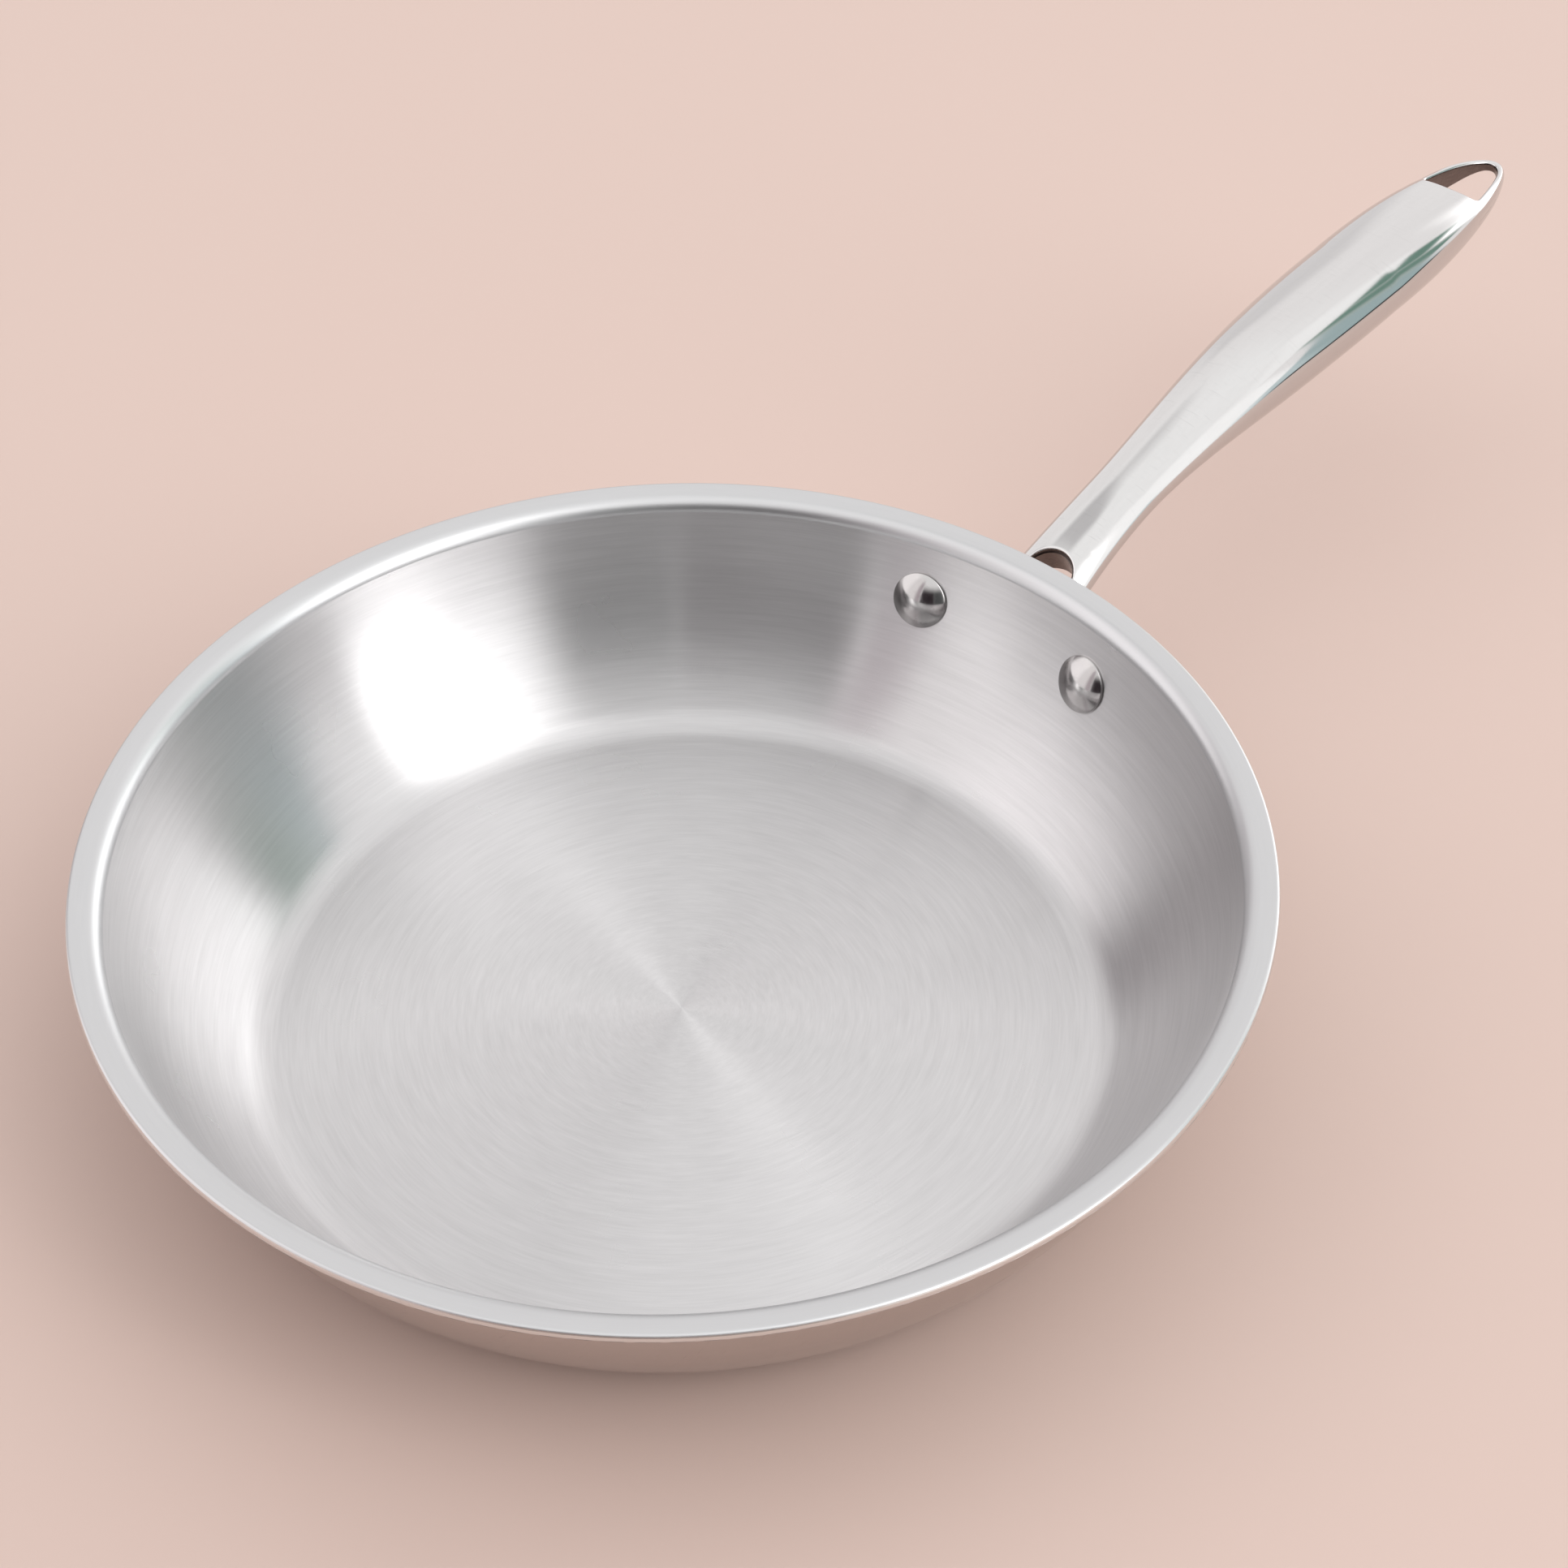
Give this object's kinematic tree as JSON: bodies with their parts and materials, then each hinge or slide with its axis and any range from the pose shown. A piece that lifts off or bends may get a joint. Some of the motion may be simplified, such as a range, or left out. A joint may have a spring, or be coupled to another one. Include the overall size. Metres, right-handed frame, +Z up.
{
  "type": "omelette pan",
  "caption": "Shallow round frying pan of clad sheet metal, with a curved wall, a flared pouring lip and a hollow riveted handle that ends in a hanging eye.",
  "frame": {"origin": "centre of the pan's flat underside, on the axis of the bowl", "axes": "+Z up along the axis of the bowl; +X from the axis out along the handle; +Y across the handle, to the left as seen from the pan looking out along the handle"},
  "size_m": [0.4309, 0.24, 0.0634],
  "materials": {
    "brushed_inside": "brushed in rings",
    "aluminium_core": "turned edge, satin",
    "polished_outside": "mirror polished stainless steel",
    "polished_handle": "mirror polished stainless steel",
    "satin_flange": "satin",
    "polished_rivet": "mirror polished stainless steel"
  },
  "bodies": {
    "root": {"cooking_skin": "brushed_inside", "aluminium_core": "aluminium_core", "outer_skin": "polished_outside", "handle_top_shell": "polished_handle", "handle_bottom_shell": "polished_handle", "vent_sleeve": "polished_handle", "handle_flange": "satin_flange", "rivet_left": "polished_rivet", "rivet_right": "polished_rivet"}
  },
  "joints": []
}
